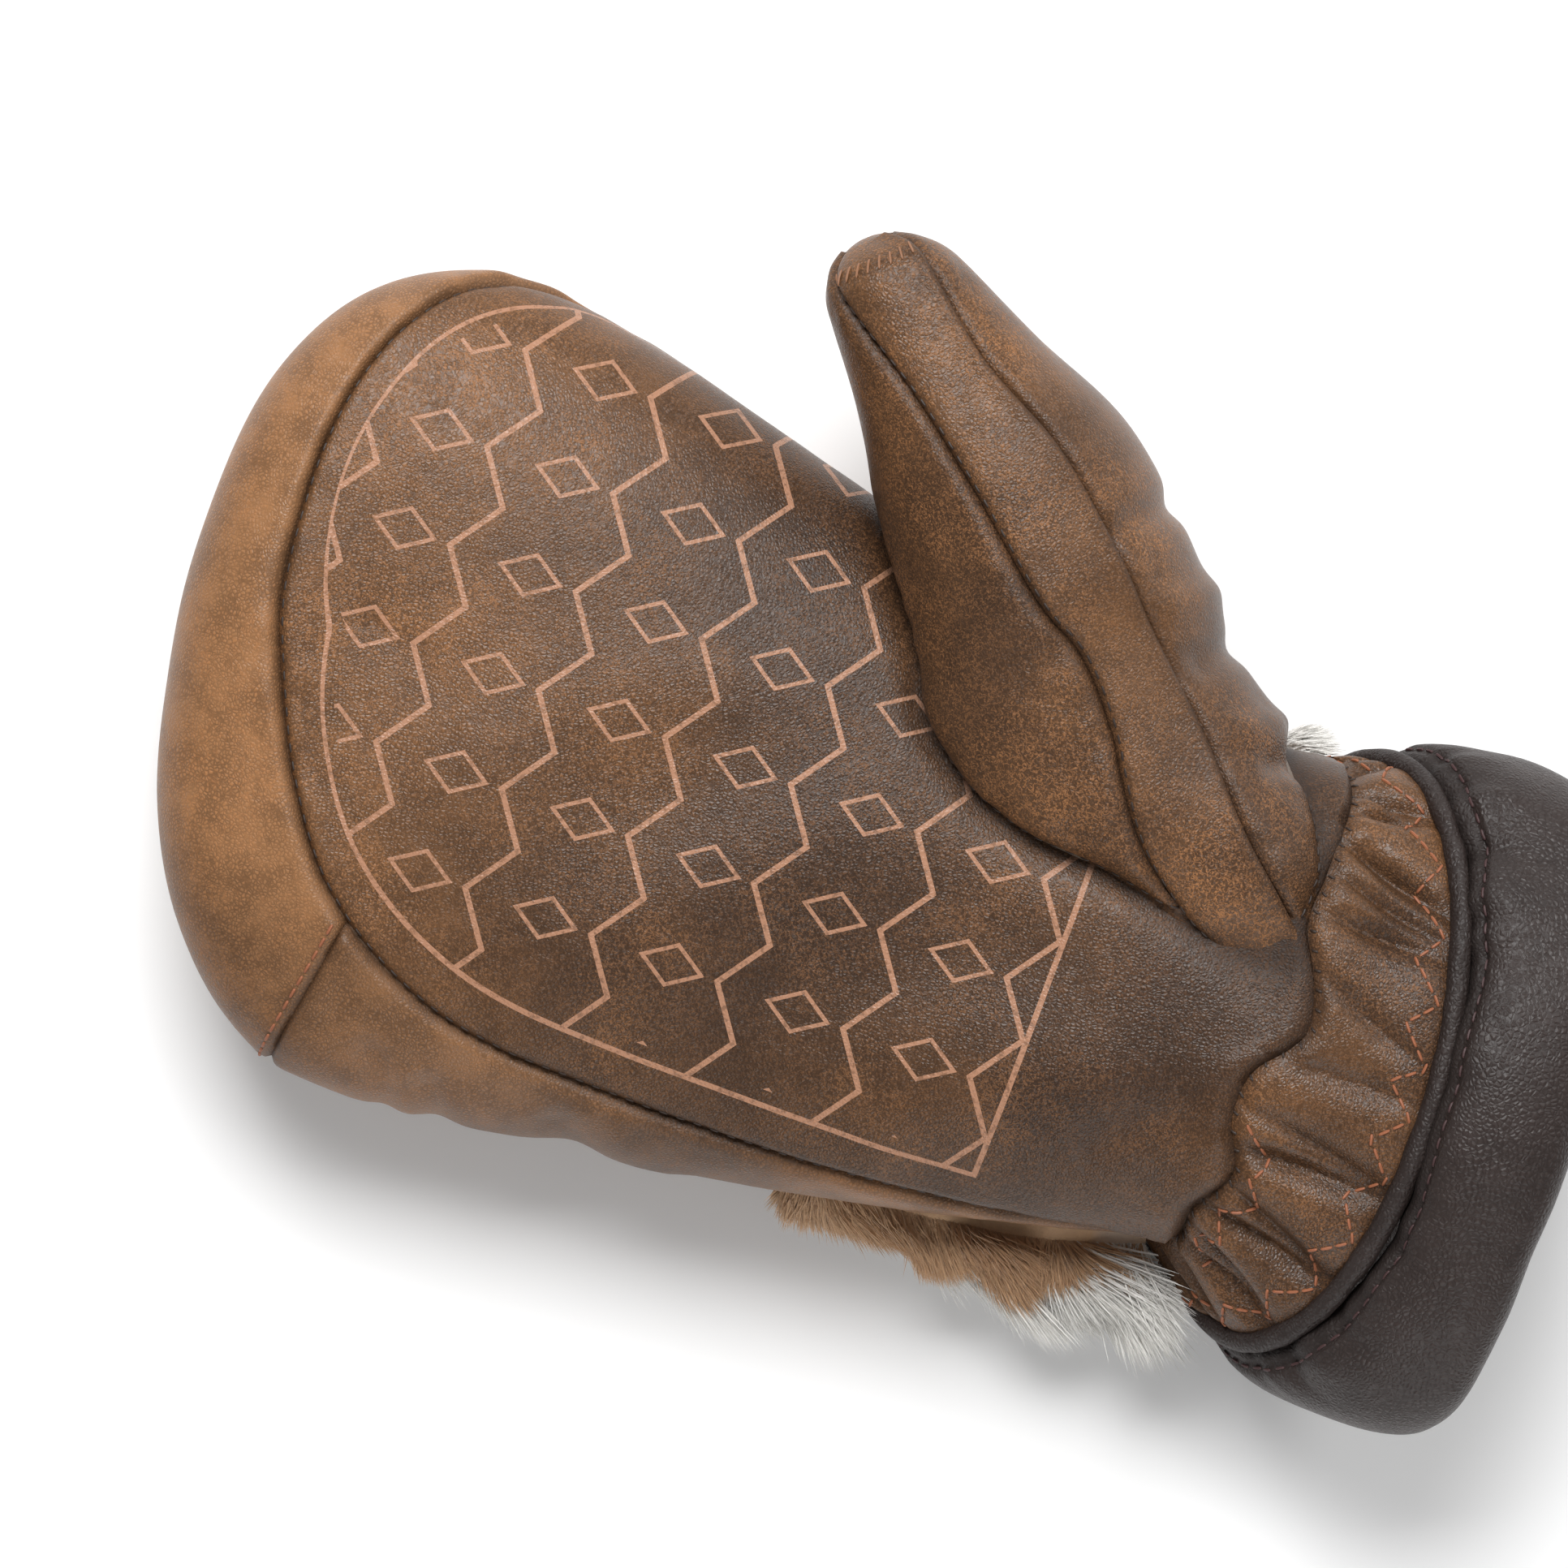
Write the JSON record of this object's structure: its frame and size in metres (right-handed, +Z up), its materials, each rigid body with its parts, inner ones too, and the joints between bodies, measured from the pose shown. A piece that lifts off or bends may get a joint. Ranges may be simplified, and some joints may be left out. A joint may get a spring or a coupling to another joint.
{
  "type": "leather mitten",
  "caption": "Right-hand leather mitten with a sewn thumb, gathered wrist, padded cuff and a fur panel on the back, lying palm up.",
  "frame": {"origin": "on the surface that the mitten lies on, under the middle of its box", "axes": "+X from the fingertips to the cuff, +Y to the thumb side, +Z up, out of the palm"},
  "size_m": [0.258, 0.1738, 0.0736],
  "materials": {
    "palm_leather": "waxed, dark brown over tan, with a thin printed line pattern",
    "tan_leather": "waxed, speckled tan brown",
    "thumb_leather": "waxed, speckled brown",
    "wrist_leather": "thin, glossy, gathered, brown",
    "cuff_leather": "soft, smooth, dark grey-brown",
    "fur": "deep pile, brown and white patches"
  },
  "bodies": {
    "root": {"palm_panel": "palm_leather", "side_gusset": "tan_leather", "tip_gusset": "tan_leather", "back_panel": "tan_leather", "wrist_strip": "wrist_leather", "cuff_rim": "cuff_leather", "cuff": "cuff_leather", "thumb_inner": "thumb_leather", "thumb_outer": "thumb_leather", "thumb_strip": "thumb_leather", "thumb_tip": "thumb_leather", "fur_panel": "fur"}
  },
  "joints": []
}
